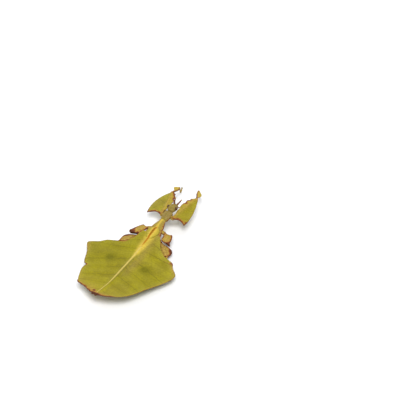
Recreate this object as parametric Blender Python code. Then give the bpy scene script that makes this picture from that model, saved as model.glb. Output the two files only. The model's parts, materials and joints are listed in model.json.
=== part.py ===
# A leaf insect: a nearly grown female nymph, standing at rest on the plane z = 0.
# Units are metres, +Z up. The head points to -Y and the insect's left side is at +X.
# Sizes are written in millimetres times MM. "Forward" is measured from the tail tip.

import math

import bmesh
import bpy
from mathutils import Vector

MM = 0.001

# Whole body: how far behind the middle of the stance the tail tip lies, the clearance
# left between neighbours, the thinnest leaf-like sheet, and the angle of a sharp edge
TAIL_Y = 40.3 * MM
GAP = 0.3 * MM
SHEET = 0.6 * MM
SHARP_ANGLE = 50

# Line of the back: forward place and height above the floor
BACK_LINE = (
    (-2.0, 6.9), (0.0, 6.6), (1.6, 5.8), (5.7, 4.75), (11.3, 3.9), (18.0, 3.55), (25.0, 3.25),
    (30.0, 3.35), (37.0, 4.4), (44.0, 5.6), (51.0, 6.7), (57.0, 8.0), (62.0, 8.7),
)

# Abdomen rows, from the waist to the tail: place on the midline, then forward place and
# distance from the axis where the row meets the left margin, and the same for the right one.
# Rows run obliquely back to the margin. The leaf is held askew, so its two sides differ.
ABDOMEN_ROWS = (
    (42.5, 42.5, 4.3, 42.5, 4.3), (41.2, 38.6, 5.2, 40.4, 5.6), (39.8, 35.4, 7.1, 37.2, 7.9),
    (38.3, 33.4, 10.1, 34.8, 10.8), (36.4, 32.1, 13.9, 34.0, 13.4), (34.8, 30.0, 16.3, 33.0, 15.8),
    (33.2, 28.1, 19.7, 31.0, 17.1), (32.0, 26.4, 20.0, 28.2, 19.9), (30.4, 22.9, 17.6, 25.1, 20.0),
    (28.0, 18.5, 15.7, 21.3, 18.4), (25.6, 16.4, 14.4, 18.9, 17.2), (24.2, 15.8, 13.4, 17.4, 16.5),
    (21.2, 13.2, 13.4, 15.5, 15.7), (16.4, 9.7, 12.1, 11.2, 13.9), (11.4, 6.7, 10.7, 7.7, 12.2),
    (8.0, 4.6, 9.6, 5.3, 10.4), (6.0, 3.9, 7.6, 3.4, 8.1), (4.0, 3.2, 5.3, 2.1, 5.7),
    (2.7, 2.1, 3.1, 1.5, 3.6), (1.6, 1.4, 1.0, 1.2, 1.9),
)
ABDOMEN_FINE = 2
ABDOMEN_COLUMNS = 20
CORE_HALF_WIDTH = 5.2 * MM
CORE_DEPTH = 3.3 * MM
CORE_TAPER = 8.0
TAIL_SWAY = 0.8
MARGIN_LIFT = 0.25 * MM
LEFT_CORNER_LIFT = 0.5 * MM
RIGHT_TAIL_LIFT = 0.7 * MM
MIDLINE_RIDGE = 0.3 * MM

# Trunk rings in front of the abdomen: place, half width, height of the crown above
# the line of the back, and depth under it
METATHORAX_RINGS = (
    (42.8, 3.9, 0.0, 2.3), (43.6, 3.75, 0.1, 2.35), (45.0, 3.2, 0.1, 2.3), (46.3, 2.8, 0.0, 2.1),
)
MESOTHORAX_RINGS = (
    (46.6, 2.7, 0.0, 2.1), (47.8, 2.45, 0.1, 2.2), (49.4, 1.95, 0.15, 2.1),
    (50.4, 1.5, 0.1, 1.9), (51.5, 1.35, 0.0, 1.8),
)
PROTHORAX_RINGS = (
    (51.8, 1.4, -0.1, 1.8), (52.4, 1.65, 0.15, 2.2), (53.6, 1.85, 0.3, 2.5),
    (54.9, 1.92, 0.3, 2.6), (55.7, 1.97, 0.1, 2.4), (56.1, 1.8, -0.3, 2.0),
)
TRUNK_COLUMNS = 8

# Head
HEAD_CENTRE = (59.15, 7.3)
HEAD_HALF_LENGTH = 2.75 * MM
HEAD_HALF_WIDTH = 1.75 * MM
HEAD_HALF_HEIGHT = 1.35 * MM
MUZZLE_TAPER = 0.3
MUZZLE_DROP = 0.55 * MM
EYE_PLACE = (58.5, 1.66, 7.75)
EYE_RADIUS = 0.72 * MM
EYE_GAP = 0.18 * MM
ANTENNA_ROOT = (61.5, 0.7, 7.85)
ANTENNA_TIPS = {"left": (64.2, 1.9, 8.3), "right": (64.1, -1.0, 8.3)}
ANTENNA_RADIUS = 0.3 * MM

# Wing pads: root and tip, inner and outer edge
PAD_FRONT = 46.4
PAD_BACK = 40.4
PAD_INNER = 0.25
PAD_WIDTH = 2.3
PAD_THICKNESS = 0.5 * MM

# Cerci, the two small flat tail pieces
CERCUS_ROOT = 0.9
CERCUS_LENGTH = 0.8
CERCUS_HALF_WIDTH = 0.42
CERCUS_THICKNESS = 0.5 * MM

# Legs. A lobe's edge lies in the plane of its segment, as places along it and out from its
# axis. It leaves the knuckle through a hollow, comes out to a hook, and runs round a
# shoulder to the far end. The shoulder's first number is a share of the length. "Root" is
# the place on the axis that the hook is drawn from.
FORE_NARROW_LOBE = {"hollow": (0.4, 0.5), "hook": (1.4, 0.6), "shoulder": (0.74, 3.6)}
FEMORA = {
    ("fore", "left"): {
        "rod": 0.62, "root": 2.9, "teeth": 0.3, "narrow": FORE_NARROW_LOBE,
        "broad": {"hollow": (2.3, 2.7), "hook": (0.3, 6.9), "shoulder": (0.66, 7.6)},
    },
    ("fore", "right"): {
        "rod": 0.62, "root": 2.9, "teeth": 0.3, "narrow": FORE_NARROW_LOBE,
        "broad": {"hollow": (1.7, 2.5), "hook": (-0.3, 5.7), "shoulder": (0.5, 5.3)},
    },
    "mid": {
        "rod": 0.55, "root": 1.5, "teeth": 0.2,
        "broad": {"hollow": (0.6, 0.9), "hook": (0.9, 2.7), "shoulder": (0.5, 2.8)},
        "narrow": {"hollow": (0.5, 0.5), "hook": (1.4, 1.5), "shoulder": (0.6, 3.2)},
    },
    "hind": {
        "rod": 0.55, "root": 1.2, "teeth": 0.2,
        "broad": {"hollow": (0.2, 0.6), "hook": (1.2, 1.1), "shoulder": (0.78, 5.2)},
        "narrow": {"hollow": (0.3, 0.5), "hook": (1.8, 0.9), "shoulder": (0.7, 2.6)},
    },
}
TIBIAE = {
    "fore": {
        "rod": 0.42, "root": 0.8, "teeth": 0.0,
        "broad": {"hollow": (0.0, 0.4), "hook": (0.9, 0.5), "shoulder": (0.45, 2.7)},
        "narrow": {"hollow": (0.0, 0.4), "hook": (1.0, 0.45), "shoulder": (0.5, 0.9)},
    },
    "mid": {
        "rod": 0.4, "root": 0.7, "teeth": 0.0,
        "broad": {"hollow": (0.0, 0.4), "hook": (0.8, 0.42), "shoulder": (0.5, 1.0)},
        "narrow": {"hollow": (0.0, 0.4), "hook": (0.8, 0.42), "shoulder": (0.5, 0.7)},
    },
    "hind": {
        "rod": 0.4, "root": 0.7, "teeth": 0.0,
        "broad": {"hollow": (0.0, 0.4), "hook": (0.8, 0.42), "shoulder": (0.5, 1.0)},
        "narrow": {"hollow": (0.0, 0.4), "hook": (0.8, 0.42), "shoulder": (0.5, 0.8)},
    },
}
KNUCKLE = 1.1
KNUCKLE_ROWS = 3
FEMUR_GRID = (9, 8)
TIBIA_GRID = (6, 4)
TARSUS_RADIUS = 0.4 * MM
FOOT_HEIGHT = 0.27 * MM

# Pose of each leg as forward, left and height in millimetres. Lean and twist say how far the
# broad lobes of the femur and of the tibia dip below the level, in degrees. The middle legs
# are folded, so that the shin starts under the knee; the toe has the height of the foot.
POSES = {
    ("fore", "left"): {
        "hip": (55.0, 2.75, 6.1), "knee": (67.9, 5.6, 7.0), "shin": (68.3, 5.65, 6.8),
        "ankle": (73.7, 5.9, 5.2), "ball": (76.8, 7.3, 0.4), "toe": (79.8, 8.4), "lean": 13,
        "twist": -25,
    },
    ("fore", "right"): {
        "hip": (55.0, -2.75, 6.1), "knee": (68.9, -5.3, 7.0), "shin": (69.3, -5.1, 6.8),
        "ankle": (75.5, -2.3, 5.5), "ball": (77.9, -1.0, 0.4), "toe": (80.4, 0.1), "lean": 13,
        "twist": 20,
    },
    ("mid", "left"): {
        "hip": (46.0, 4.15, 4.3), "knee": (41.4, 9.3, 3.9), "shin": (41.8, 9.3, 2.8),
        "ankle": (44.9, 7.0, 1.3), "ball": (46.1, 7.0, 0.4), "toe": (48.0, 10.2), "lean": 4,
        "twist": 0,
    },
    ("mid", "right"): {
        "hip": (46.0, -4.15, 4.3), "knee": (42.6, -7.9, 3.6), "shin": (43.0, -8.0, 2.4),
        "ankle": (45.0, -5.6, 1.3), "ball": (45.9, -5.3, 0.4), "toe": (48.6, -4.2), "lean": 4,
        "twist": 0,
    },
    ("hind", "left"): {
        "hip": (42.0, 4.7, 2.3), "knee": (36.9, 11.3, 1.3), "shin": (36.4, 11.4, 1.25),
        "ankle": (30.6, 12.6, 0.9), "ball": (29.4, 12.8, 0.4), "toe": (25.4, 13.6), "lean": 0,
        "twist": 0,
    },
    ("hind", "right"): {
        "hip": (42.0, -4.7, 2.7), "knee": (36.9, -10.6, 1.95), "shin": (36.4, -10.6, 1.85),
        "ankle": (30.4, -10.6, 0.9), "ball": (29.2, -10.6, 0.4), "toe": (25.2, -11.2), "lean": 0,
        "twist": 0,
    },
}

COLOURS = {
    "olive": ((0.36, 0.31, 0.03), 0.5),
    "tan": ((0.40, 0.30, 0.09), 0.55),
    "brown": ((0.17, 0.06, 0.02), 0.5),
    "yellow": ((0.60, 0.44, 0.06), 0.5),
    "dark": ((0.05, 0.03, 0.02), 0.3),
}


def spot(forward, left, height):
    """Point of the insect, from millimetres ahead of the tail, to the left and above the floor."""
    return Vector((left * MM, TAIL_Y - forward * MM, height * MM))


def follow(stations, place):
    """Smooth curve through stations of (place, value), read at one place."""
    last = len(stations) - 2
    index = 0
    while index < last and place > stations[index + 1][0]:
        index += 1
    (x0, y0), (x1, y1) = stations[index], stations[index + 1]
    before = stations[max(index - 1, 0)]
    after = stations[min(index + 2, len(stations) - 1)]
    slope0 = (y1 - before[1]) / (x1 - before[0])
    slope1 = (after[1] - y0) / (after[0] - x0)
    span = x1 - x0
    t = (place - x0) / span
    start = (1 + 2 * t) * (1 - t) ** 2 * y0 + t * (1 - t) ** 2 * span * slope0
    end = t * t * (3 - 2 * t) * y1 + t * t * (t - 1) * span * slope1
    return start + end


def blend(rows, place):
    """Row between two neighbours of a table of rows; place runs from 0 to its last index."""
    index = min(int(place), len(rows) - 2)
    part = place - index
    return [a + (b - a) * part for a, b in zip(rows[index], rows[index + 1])]


def fade(value):
    """Smooth step from 0 to 1."""
    value = min(max(value, 0.0), 1.0)
    return value * value * (3 - 2 * value)


def material(name, finish):
    """Principled material with the colour and roughness of a finish."""
    colour, roughness = COLOURS[finish]
    made = bpy.data.materials.new(name)
    made.use_nodes = True
    shader = made.node_tree.nodes["Principled BSDF"]
    shader.inputs["Base Color"].default_value = (*colour, 1.0)
    shader.inputs["Roughness"].default_value = roughness
    shader.inputs["Metallic"].default_value = 0.0
    return made


def finish_object(name, mesh, finish, owner):
    """Turn a bmesh into a named object of the insect, with its faces outward."""
    bmesh.ops.recalc_face_normals(mesh, faces=mesh.faces[:])
    if mesh.calc_volume(signed=True) < 0:
        bmesh.ops.reverse_faces(mesh, faces=mesh.faces[:])
    data = bpy.data.meshes.new(name)
    mesh.to_mesh(data)
    mesh.free()
    data.materials.append(material(name, finish))
    data.shade_smooth()
    data.set_sharp_from_angle(angle=math.radians(SHARP_ANGLE))
    made = bpy.data.objects.new(name, data)
    owner.objects.link(made)
    return made


def slab(rows, columns, upper, lower):
    """Closed sheet: a grid on the upper surface, pulled down to the lower one.

    Both surfaces are functions of u, 0 to 1 along the rows, and v, -1 to 1 across them.
    """
    mesh = bmesh.new()
    bmesh.ops.create_grid(mesh, x_segments=columns, y_segments=rows, size=1.0)
    pulled = bmesh.ops.extrude_face_region(mesh, geom=mesh.faces[:])
    below = {item for item in pulled["geom"] if isinstance(item, bmesh.types.BMVert)}
    for vertex in mesh.verts:
        surface = lower if vertex in below else upper
        vertex.co = surface((vertex.co.y + 1) / 2, vertex.co.x)
    return mesh


def back_height(forward):
    """Height of the line of the back, in metres."""
    return follow(BACK_LINE, forward) * MM


def midline(forward):
    """Distance of the midline from the axis, in millimetres; the tail bends to the right."""
    return -TAIL_SWAY * fade((30 - forward) / 22)


def abdomen_place(u, v):
    """Forward place and left place on the abdomen, in millimetres."""
    row = blend(ABDOMEN_ROWS, u * (len(ABDOMEN_ROWS) - 1))
    margin, reach = row[1:3] if v >= 0 else row[3:5]
    forward = row[0] + (margin - row[0]) * abs(v)
    return forward, midline(row[0]) * (1 - abs(v)) + v * reach


def abdomen_top(u, v):
    forward, left = abdomen_place(u, v)
    across = abs(left - midline(forward))
    ridge = MIDLINE_RIDGE * (1 - fade(across / 1.6)) * fade(forward / 6)
    lift = MARGIN_LIFT
    if v > 0:
        lift += LEFT_CORNER_LIFT * fade((forward - 20) / 8)
    else:
        lift += RIGHT_TAIL_LIFT * fade((20 - forward) / 8) * fade(forward / 4)
    point = spot(forward, left, 0)
    point.z = back_height(forward) + lift * v * v + ridge
    return point


def abdomen_bottom(u, v):
    forward, left = abdomen_place(u, v)
    point = abdomen_top(u, v)
    fullness = fade(forward / CORE_TAPER) * (1 - 0.35 * fade((forward - 34) / 9))
    fullness *= 1 - fade(abs(left - midline(forward)) * MM / CORE_HALF_WIDTH)
    point.z -= SHEET + (CORE_DEPTH - SHEET) * fullness
    point.z = max(point.z, 0.0)
    return point


def build_abdomen(owner):
    rows = (len(ABDOMEN_ROWS) - 1) * ABDOMEN_FINE
    mesh = slab(rows, ABDOMEN_COLUMNS, abdomen_top, abdomen_bottom)
    finish_object("abdomen", mesh, "olive", owner)


def build_trunk_piece(name, rings, finish, owner):
    """Rounded length of the trunk through a few rings."""

    def ring(u, v, side):
        forward, half_width, crown, depth = blend(rings, u * (len(rings) - 1))
        arch = math.sqrt(max(1 - v * v, 0.0))
        middle = back_height(forward) + (crown - depth * 0.5) * MM
        reach = SHEET / 2 + (depth * MM / 2 - SHEET / 2) * arch
        point = spot(forward, half_width * v, 0)
        point.z = middle + side * reach
        return point

    rows = (len(rings) - 1) * 2
    mesh = slab(rows, TRUNK_COLUMNS, lambda u, v: ring(u, v, 1), lambda u, v: ring(u, v, -1))
    finish_object(name, mesh, finish, owner)


def build_wing_pad(side, owner):
    """Flat pad beside the midline, rounded at the back, lying just over the body."""

    def face(u, v, depth):
        forward = PAD_FRONT + (PAD_BACK - PAD_FRONT) * u
        width = PAD_WIDTH * (0.35 + 0.65 * math.sin(math.pi * min(0.25 + 0.7 * u, 1.0)))
        left = PAD_INNER + width * (v + 1) / 2
        point = spot(forward, side * left, 0)
        crown = 0.1 + MIDLINE_RIDGE / MM
        point.z = back_height(forward) + crown * MM + GAP + PAD_THICKNESS - depth
        point.z -= 0.12 * MM * ((v + 1) / 2) ** 2
        return point

    mesh = slab(8, 4, lambda u, v: face(u, v, 0), lambda u, v: face(u, v, PAD_THICKNESS))
    name = "wing_pad_left" if side > 0 else "wing_pad_right"
    finish_object(name, mesh, "yellow", owner)


def build_cercus(side, owner):
    """Small leaf-shaped tail piece just behind the last segment."""

    def face(u, v, depth):
        forward = CERCUS_ROOT - CERCUS_LENGTH * u
        swell = 0.55 + 0.45 * math.sin(math.pi * (0.15 + 0.75 * u))
        left = midline(forward) + side * (0.6 + 0.2 * u) + CERCUS_HALF_WIDTH * swell * v
        point = spot(forward, left, 0)
        point.z = back_height(forward) - depth
        return point

    mesh = slab(4, 2, lambda u, v: face(u, v, 0), lambda u, v: face(u, v, CERCUS_THICKNESS))
    name = "cercus_left" if side > 0 else "cercus_right"
    finish_object(name, mesh, "brown", owner)


def head_shape(point):
    """Squared-off capsule, narrower and lower towards the mouth."""
    squared = Vector([math.copysign(abs(value) ** 0.82, value) for value in point])
    front = fade((squared.x + 0.1) / 1.1)
    forward = squared.x * HEAD_HALF_LENGTH
    left = squared.y * HEAD_HALF_WIDTH * (1 - MUZZLE_TAPER * front)
    rise = squared.z * HEAD_HALF_HEIGHT * (1 - 0.25 * front) - MUZZLE_DROP * front
    centre = spot(HEAD_CENTRE[0], 0, HEAD_CENTRE[1])
    return centre + Vector((left, -forward, rise))


def build_head(owner, tools):
    """Head capsule with a round seat cut into each side for an eye."""
    mesh = bmesh.new()
    bmesh.ops.create_uvsphere(mesh, u_segments=16, v_segments=10, radius=1.0)
    for vertex in mesh.verts:
        x, y, z = vertex.co
        vertex.co = head_shape(Vector((z, x, y)))
    head = finish_object("head", mesh, "tan", owner)
    for side in (1, -1):
        forward, left, height = EYE_PLACE
        seat = bmesh.new()
        bmesh.ops.create_uvsphere(seat, u_segments=12, v_segments=8, radius=EYE_RADIUS + EYE_GAP)
        bmesh.ops.translate(seat, vec=spot(forward, side * left, height), verts=seat.verts[:])
        cutter = finish_object("eye_seat_cutter", seat, "dark", tools)
        cutter.hide_render = True
        cutter.display_type = "WIRE"
        cut = head.modifiers.new("eye seat", "BOOLEAN")
        cut.operation = "DIFFERENCE"
        cut.object = cutter


def build_eye(side, owner):
    forward, left, height = EYE_PLACE
    mesh = bmesh.new()
    bmesh.ops.create_uvsphere(mesh, u_segments=10, v_segments=8, radius=EYE_RADIUS)
    bmesh.ops.translate(mesh, vec=spot(forward, side * left, height), verts=mesh.verts[:])
    finish_object("eye_left" if side > 0 else "eye_right", mesh, "dark", owner)


def tube(name, points, radii, finish, owner):
    """Closed tube along a few points, flat where it meets the floor."""
    curve = bpy.data.curves.new(name, "CURVE")
    curve.dimensions = "3D"
    curve.bevel_depth = 1.0
    curve.bevel_resolution = 2
    curve.use_fill_caps = True
    line = curve.splines.new("POLY")
    line.points.add(len(points) - 1)
    for place, point, radius in zip(line.points, points, radii):
        place.co = (*point, 1.0)
        place.radius = radius
    guide = bpy.data.objects.new(name + "_guide", curve)
    owner.objects.link(guide)
    bpy.context.view_layer.update()
    shape = guide.evaluated_get(bpy.context.evaluated_depsgraph_get())
    data = bpy.data.meshes.new_from_object(shape)
    bpy.data.objects.remove(guide)
    mesh = bmesh.new()
    mesh.from_mesh(data)
    bpy.data.meshes.remove(data)
    bmesh.ops.remove_doubles(mesh, verts=mesh.verts[:], dist=0.00001)
    for vertex in mesh.verts:
        vertex.co.z = max(vertex.co.z, 0.0)
    finish_object(name, mesh, finish, owner)


def build_antenna(side, owner):
    """Short antenna in four lengths, leaning out and slightly up."""
    which = "left" if side > 0 else "right"
    root = spot(ANTENNA_ROOT[0], side * ANTENNA_ROOT[1], ANTENNA_ROOT[2])
    tip = spot(*ANTENNA_TIPS[which])
    points = [root.lerp(tip, share) for share in (0.0, 0.25, 0.5, 0.8, 1.0)]
    radii = [ANTENNA_RADIUS * share for share in (1.25, 1.0, 0.95, 1.05, 0.85)]
    tube("antenna_" + which, points, radii, "brown", owner)


def leg_axes(start, end, hand, lean):
    """Axes of a leg segment: along it, out across its broad lobe, and out of its upper face."""
    along = (end - start).normalized()
    across = Vector((0, 0, 1)).cross(along).normalized() * hand
    upper = along.cross(across) * hand
    angle = math.radians(lean)
    tilted = across * math.cos(angle) - upper * math.sin(angle)
    return along, tilted, upper * math.cos(angle) + across * math.sin(angle)


def bend(start, middle, end, t):
    """Point on the curve from start to end that bends towards the middle point."""
    return [a * (1 - t) ** 2 + 2 * b * t * (1 - t) + c * t * t for a, b, c in zip(start, middle, end)]


def build_leaf(name, start, end, shape, grid, hand, lean, finish, owner):
    """Leg segment: a round rod with a broad and a narrow leaf-like lobe along it."""
    along, across, upper = leg_axes(start, end, hand, lean)
    length = (end - start).length / MM
    rod = shape["rod"]
    half_sheet = SHEET / MM / 2

    def edge(run, lobe):
        """Edge of a lobe; run is -1 at the knuckle, 0 at the hook and 1 at the far end."""
        if run < 0:
            return bend((-KNUCKLE, rod * 0.75), lobe["hollow"], lobe["hook"], 1 + run)
        share, reach = lobe["shoulder"]
        return bend(lobe["hook"], (share * length, reach), (length, rod * 0.9), run)

    def face(u, v, side):
        rows = grid[0] + KNUCKLE_ROWS
        run = u * rows - KNUCKLE_ROWS
        run /= KNUCKLE_ROWS if run < 0 else grid[0]
        stretch = shape["root"] + KNUCKLE if run < 0 else length - shape["root"]
        axis = shape["root"] + stretch * run
        edge_along, edge_out = edge(run, shape["broad"] if v >= 0 else shape["narrow"])
        if v < 0 < run:
            edge_out += shape["teeth"] * abs(math.sin(run * math.pi * 4)) * fade(4 - 4 * run)
        s = axis + (edge_along - axis) * abs(v)
        t = edge_out * v
        swell = max(1 - (t / (rod * 1.25)) ** 2, 0.0) ** 0.5
        half = half_sheet + (rod - half_sheet) * swell
        point = start + (along * s + across * t + upper * side * half) * MM
        point.z = max(point.z, 0.0)
        return point

    rows = grid[0] + KNUCKLE_ROWS
    mesh = slab(rows, grid[1], lambda u, v: face(u, v, 1), lambda u, v: face(u, v, -1))
    finish_object(name, mesh, finish, owner)


def build_leg(pair, side_name, owner):
    """One leg in three pieces, each a small gap short of the next."""
    pose = POSES[pair, side_name]
    side = 1 if side_name == "left" else -1
    hand = side if pair == "fore" else -side
    hip, knee, shin, ankle, ball = [spot(*pose[key]) for key in ("hip", "knee", "shin", "ankle", "ball")]
    toe = spot(*pose["toe"], FOOT_HEIGHT / MM)
    ending = pair + "_" + side_name

    femur = FEMORA.get((pair, side_name)) or FEMORA[pair]
    build_leaf("femur_" + ending, hip, knee, femur, FEMUR_GRID, hand, pose["lean"], "olive", owner)

    shin_start = shin + (ankle - shin).normalized() * KNUCKLE * MM
    build_leaf("tibia_" + ending, shin_start, ankle, TIBIAE[pair], TIBIA_GRID, hand, pose["twist"],
               "tan", owner)

    foot_root = ankle + (ball - ankle).normalized() * 0.45 * MM
    heel = ball.lerp(toe, 0.25)
    heel.z = FOOT_HEIGHT
    pad = ball.lerp(toe, 0.65)
    pad.z = FOOT_HEIGHT
    points = [foot_root, ankle.lerp(ball, 0.7), ball, heel, pad, toe]
    radii = [TARSUS_RADIUS * share for share in (0.8, 0.95, 0.9, 0.95, 1.05, 0.7)]
    tube("tarsus_" + ending, points, radii, "brown", owner)


def clear_scene():
    for item in list(bpy.data.objects):
        bpy.data.objects.remove(item, do_unlink=True)


def main():
    clear_scene()
    insect = bpy.data.collections.new("leaf_insect")
    bpy.context.scene.collection.children.link(insect)
    tools = bpy.data.collections.new("cutters")
    bpy.context.scene.collection.children.link(tools)

    build_abdomen(insect)
    build_trunk_piece("metathorax", METATHORAX_RINGS, "olive", insect)
    build_trunk_piece("mesothorax", MESOTHORAX_RINGS, "olive", insect)
    build_trunk_piece("prothorax", PROTHORAX_RINGS, "tan", insect)
    build_head(insect, tools)
    for side in (1, -1):
        build_eye(side, insect)
        build_antenna(side, insect)
        build_wing_pad(side, insect)
        build_cercus(side, insect)
    for pair, side_name in POSES:
        build_leg(pair, side_name, insect)


main()
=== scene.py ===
import json
import math

import bmesh
import bpy
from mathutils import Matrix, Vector, noise
from mathutils.kdtree import KDTree

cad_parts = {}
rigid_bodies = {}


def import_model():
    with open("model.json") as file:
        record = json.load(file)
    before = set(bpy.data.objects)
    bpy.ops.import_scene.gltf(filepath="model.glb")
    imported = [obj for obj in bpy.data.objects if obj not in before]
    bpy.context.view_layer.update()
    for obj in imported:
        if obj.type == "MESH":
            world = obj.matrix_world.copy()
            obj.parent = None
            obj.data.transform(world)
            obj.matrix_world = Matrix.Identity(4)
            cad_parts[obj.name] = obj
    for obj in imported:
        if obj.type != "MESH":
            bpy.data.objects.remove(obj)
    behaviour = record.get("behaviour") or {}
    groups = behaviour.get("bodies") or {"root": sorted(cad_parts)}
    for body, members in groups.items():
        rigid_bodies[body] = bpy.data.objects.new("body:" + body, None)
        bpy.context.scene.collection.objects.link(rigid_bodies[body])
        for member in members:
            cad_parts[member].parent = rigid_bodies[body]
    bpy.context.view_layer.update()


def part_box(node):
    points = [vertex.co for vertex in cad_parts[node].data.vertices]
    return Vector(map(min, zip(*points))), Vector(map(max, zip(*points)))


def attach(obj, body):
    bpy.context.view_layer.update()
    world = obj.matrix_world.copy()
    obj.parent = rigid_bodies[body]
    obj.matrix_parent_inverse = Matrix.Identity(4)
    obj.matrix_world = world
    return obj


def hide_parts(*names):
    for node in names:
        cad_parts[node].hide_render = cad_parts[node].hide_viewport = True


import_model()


# The camera. It looks down on the insect from behind its right side, through a long lens.
# It is aimed at the toes of the forelegs, so the insect lies low and left in the picture.
MM = 0.001
CAMERA_AZIMUTH = math.radians(210.7)
CAMERA_ELEVATION = math.radians(38.4)
CAMERA_DISTANCE = 614 * MM
CAMERA_TARGET = Vector((-4.39, -32.60, 3.61)) * MM
CAMERA_LENS = 135
NEAREST_SEEN = 10 * MM

toward_camera = Vector((
    math.sin(CAMERA_AZIMUTH) * math.cos(CAMERA_ELEVATION),
    -math.cos(CAMERA_AZIMUTH) * math.cos(CAMERA_ELEVATION),
    math.sin(CAMERA_ELEVATION),
))
camera = bpy.data.objects.new("camera", bpy.data.cameras.new("camera"))
camera.data.lens = CAMERA_LENS
camera.data.clip_start = NEAREST_SEEN
camera.location = CAMERA_TARGET + toward_camera * CAMERA_DISTANCE
camera.rotation_euler = (-toward_camera).to_track_quat("-Z", "Y").to_euler()
bpy.context.scene.collection.objects.link(camera)
bpy.context.scene.camera = camera
bpy.context.scene.view_settings.view_transform = "Standard"


# The studio. A pale sheet lies under the insect, with one broad lamp over it, a weaker one
# on the other side, and pale surroundings that keep the shadows soft.
FLOOR_SIZE = 6.0
FLOOR_WHITE = (0.86, 0.86, 0.87, 1)
FLOOR_CLOUD = (0.88, 0.88, 0.88, 1)
FLOOR_CLOUDS_PER_METRE = 9.0
FLOOR_ROUGHNESS = 0.8
SURROUND = (0.93, 0.96, 1.0, 1)
SURROUND_STRENGTH = 0.62
LAMPS = (
    ("key_lamp", Vector((-0.25, 0.35, 0.75)), 0.45, 6.4),
    ("fill_lamp", Vector((0.6, -0.35, 0.5)), 0.6, 1.8),
)


def shader_node(tree, kind, **settings):
    """New node; settings are its own properties."""
    made = tree.nodes.new(kind)
    for name, value in settings.items():
        setattr(made, name, value)
    return made


def feed(tree, socket, value):
    """Join an output to an input socket, or set the input to a number or a colour."""
    if isinstance(value, bpy.types.NodeSocket):
        tree.links.new(value, socket)
    else:
        socket.default_value = value


def new_finish(name):
    """New material, with its node tree and the shader of its surface."""
    made = bpy.data.materials.new(name)
    made.use_nodes = True
    return made, made.node_tree, made.node_tree.nodes["Principled BSDF"]


def grain(tree, scale, detail=3.0, distortion=0.0):
    """Cloudy noise fixed to the piece; scale is in cells to the metre."""
    place = shader_node(tree, "ShaderNodeTexCoord")
    made = shader_node(tree, "ShaderNodeTexNoise")
    feed(tree, made.inputs["Vector"], place.outputs["Object"])
    feed(tree, made.inputs["Scale"], scale)
    feed(tree, made.inputs["Detail"], detail)
    feed(tree, made.inputs["Distortion"], distortion)
    return made.outputs["Fac"]


def step_between(tree, value, low, high, start=0.0, end=1.0):
    """Smooth step of a value, from start at low to end at high."""
    made = shader_node(tree, "ShaderNodeMapRange", interpolation_type="SMOOTHSTEP")
    for name, given in zip(("Value", "From Min", "From Max", "To Min", "To Max"),
                           (value, low, high, start, end)):
        feed(tree, made.inputs[name], given)
    return made.outputs["Result"]


def tint(tree, factor, first, second):
    """Mix of two colours."""
    made = shader_node(tree, "ShaderNodeMix", data_type="RGBA")
    feed(tree, made.inputs["Factor"], factor)
    feed(tree, made.inputs[6], first)
    feed(tree, made.inputs[7], second)
    return made.outputs[2]


paper, paper_tree, paper_shader = new_finish("pale_paper")
paper_cloud = grain(paper_tree, FLOOR_CLOUDS_PER_METRE)
feed(paper_tree, paper_shader.inputs["Base Color"],
     tint(paper_tree, paper_cloud, FLOOR_WHITE, FLOOR_CLOUD))
feed(paper_tree, paper_shader.inputs["Roughness"], FLOOR_ROUGHNESS)

sheet = bmesh.new()
bmesh.ops.create_grid(sheet, x_segments=1, y_segments=1, size=FLOOR_SIZE / 2)
floor_mesh = bpy.data.meshes.new("floor")
sheet.to_mesh(floor_mesh)
sheet.free()
floor_mesh.materials.append(paper)
floor = bpy.data.objects.new("floor", floor_mesh)
bpy.context.scene.collection.objects.link(floor)

for lamp_name, lamp_place, lamp_size, lamp_power in LAMPS:
    lamp = bpy.data.objects.new(lamp_name, bpy.data.lights.new(lamp_name, "AREA"))
    lamp.data.shape = "DISK"
    lamp.data.size = lamp_size
    lamp.data.energy = lamp_power
    lamp.location = lamp_place
    lamp.rotation_euler = (-lamp_place).to_track_quat("-Z", "Y").to_euler()
    bpy.context.scene.collection.objects.link(lamp)

world = bpy.data.worlds.new("studio")
world.use_nodes = True
world.node_tree.nodes["Background"].inputs["Color"].default_value = SURROUND
world.node_tree.nodes["Background"].inputs["Strength"].default_value = SURROUND_STRENGTH
bpy.context.scene.world = world


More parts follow.
